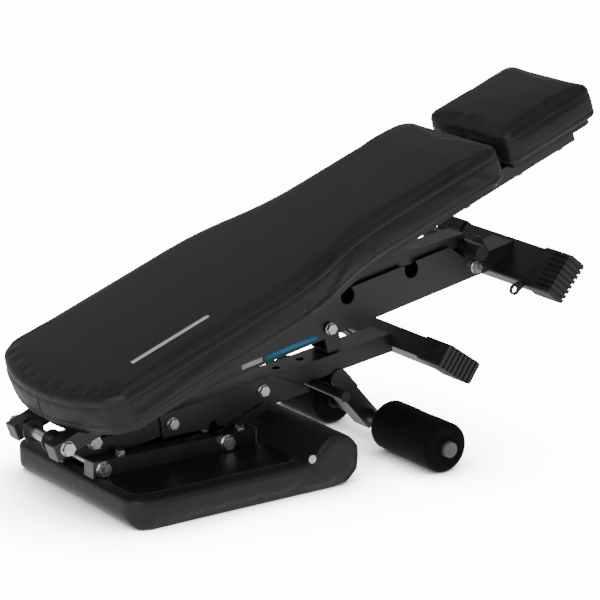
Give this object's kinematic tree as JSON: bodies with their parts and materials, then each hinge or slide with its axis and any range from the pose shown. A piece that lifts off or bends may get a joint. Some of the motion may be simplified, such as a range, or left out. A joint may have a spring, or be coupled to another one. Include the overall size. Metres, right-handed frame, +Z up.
{
  "type": "adjustable weight bench",
  "caption": "Folding adjustable weight bench with a padded seat, a waisted backrest, a head pad, a notched ladder and leg rollers, shown folded.",
  "frame": {"origin": "on the floor under the middle of the folded bench, on its centre plane", "axes": "+X along the bench from the hinge end to the head pad, +Y across it to the far side, +Z up"},
  "size_m": [0.9787, 0.458, 0.5335],
  "materials": {
    "black_powder_coat": "satin",
    "black_leatherette": "satin",
    "black_foam": "matte",
    "black_plastic": "matte",
    "grey_plastic": "satin",
    "zinc_steel": "polished",
    "board": "matte",
    "rubber": "matte"
  },
  "bodies": {
    "front_frame": {"leg_tube": "black_powder_coat", "leg_channel": "black_powder_coat", "hub_plate_near": "black_powder_coat", "hub_plate_far": "black_powder_coat", "ladder_pivot_bolt": "zinc_steel", "channel_bolts": "zinc_steel", "front_foot_tube": "black_powder_coat", "front_cap_near": "black_plastic", "front_cap_far": "black_plastic", "roller_post": "black_powder_coat", "roller_axle": "black_powder_coat", "roller_end_caps": "grey_plastic", "band_peg_bar": "black_powder_coat", "band_peg_plugs": "black_plastic"},
    "ladder": {"ladder_tube": "black_powder_coat", "ladder_plate_near": "black_powder_coat", "ladder_plate_far": "black_powder_coat", "ladder_pivot_lug": "black_powder_coat", "rear_foot_tube": "black_powder_coat", "rear_cap_near": "black_plastic", "rear_cap_far": "black_plastic", "foot_eyes": "black_powder_coat", "ladder_bolts": "zinc_steel", "stop_bracket": "black_powder_coat", "stop_buffer": "rubber"},
    "back_axle": {"back_axle_sleeve": "zinc_steel", "back_axle_bolt": "zinc_steel"},
    "backrest": {"back_rail_near": "black_powder_coat", "back_rail_far": "black_powder_coat", "back_rail_plugs": "grey_plastic", "back_cross_tubes": "black_powder_coat", "strut_pivot_bolt": "zinc_steel", "back_board": "board", "back_pad": "black_leatherette", "head_board": "board", "head_pad": "black_leatherette", "pad_bolts": "zinc_steel"},
    "strut_hinge_sleeve": {"strut_sleeve": "zinc_steel"},
    "strut": {"strut_lug": "black_powder_coat", "strut_tube": "black_powder_coat", "strut_bar": "black_powder_coat", "strut_bar_plugs": "black_plastic"},
    "seat": {"seat_rail_near": "black_powder_coat", "seat_rail_far": "black_powder_coat", "seat_rail_plugs": "grey_plastic", "seat_board": "board", "seat_pad": "black_leatherette", "seat_bolts": "zinc_steel", "seat_pivot_bolt": "zinc_steel", "prop_bolt": "zinc_steel", "cover_nails": "zinc_steel"},
    "prop": {"seat_prop": "black_powder_coat"},
    "roller_near": {"roller_sleeve_near": "black_plastic", "roller_foam_near": "black_foam"},
    "roller_far": {"roller_sleeve_far": "black_plastic", "roller_foam_far": "black_foam"}
  },
  "joints": [
    {"name": "backrest_unfold", "type": "hinge", "parent": "front_frame", "child": "back_axle", "pos_m": [-0.4663, 0, 0.109], "axis": [0, -1, 0], "range_deg": [0, 121.2]},
    {"name": "ladder_follow", "type": "hinge", "parent": "front_frame", "child": "ladder", "pos_m": [-0.3973, 0, 0.094], "axis": [0, -1, 0], "range_deg": [0, 100.5]},
    {"name": "backrest_tilt", "type": "hinge", "parent": "back_axle", "child": "backrest", "pos_m": [-0.4663, 0, 0.109], "axis": [0, -1, 0], "range_deg": [0, 60]},
    {"name": "strut_follow", "type": "hinge", "parent": "backrest", "child": "strut_hinge_sleeve", "pos_m": [-0.1003, 0, 0.24439], "axis": [0, 1, 0], "range_deg": [0, 44]},
    {"name": "strut_swing", "type": "hinge", "parent": "strut_hinge_sleeve", "child": "strut", "pos_m": [-0.1003, 0, 0.24439], "axis": [0, 1, 0], "range_deg": [0, 99.5]},
    {"name": "seat_tilt", "type": "hinge", "parent": "front_frame", "child": "seat", "pos_m": [-0.3993, 0, 0.0605], "axis": [0, 1, 0], "range_deg": [0, 18]},
    {"name": "seat_prop_swing", "type": "hinge", "parent": "seat", "child": "prop", "pos_m": [-0.1833, 0, 0.0605], "axis": [0, 1, 0], "range_deg": [0, 10]},
    {"name": "roller_spin_near", "type": "hinge", "parent": "front_frame", "child": "roller_near", "pos_m": [0.1077, 0, 0.0395], "axis": [0, 1, 0], "continuous": true},
    {"name": "roller_spin_far", "type": "hinge", "parent": "front_frame", "child": "roller_far", "pos_m": [0.1077, 0, 0.0395], "axis": [0, 1, 0], "continuous": true}
  ],
  "couplings": [
    {"joint": "ladder_follow", "follows": "backrest_unfold", "ratio": 0.82508},
    {"joint": "strut_follow", "follows": "backrest_unfold", "ratio": 0.35891},
    {"joint": "strut_swing", "follows": "backrest_tilt", "ratio": 1.65}
  ]
}
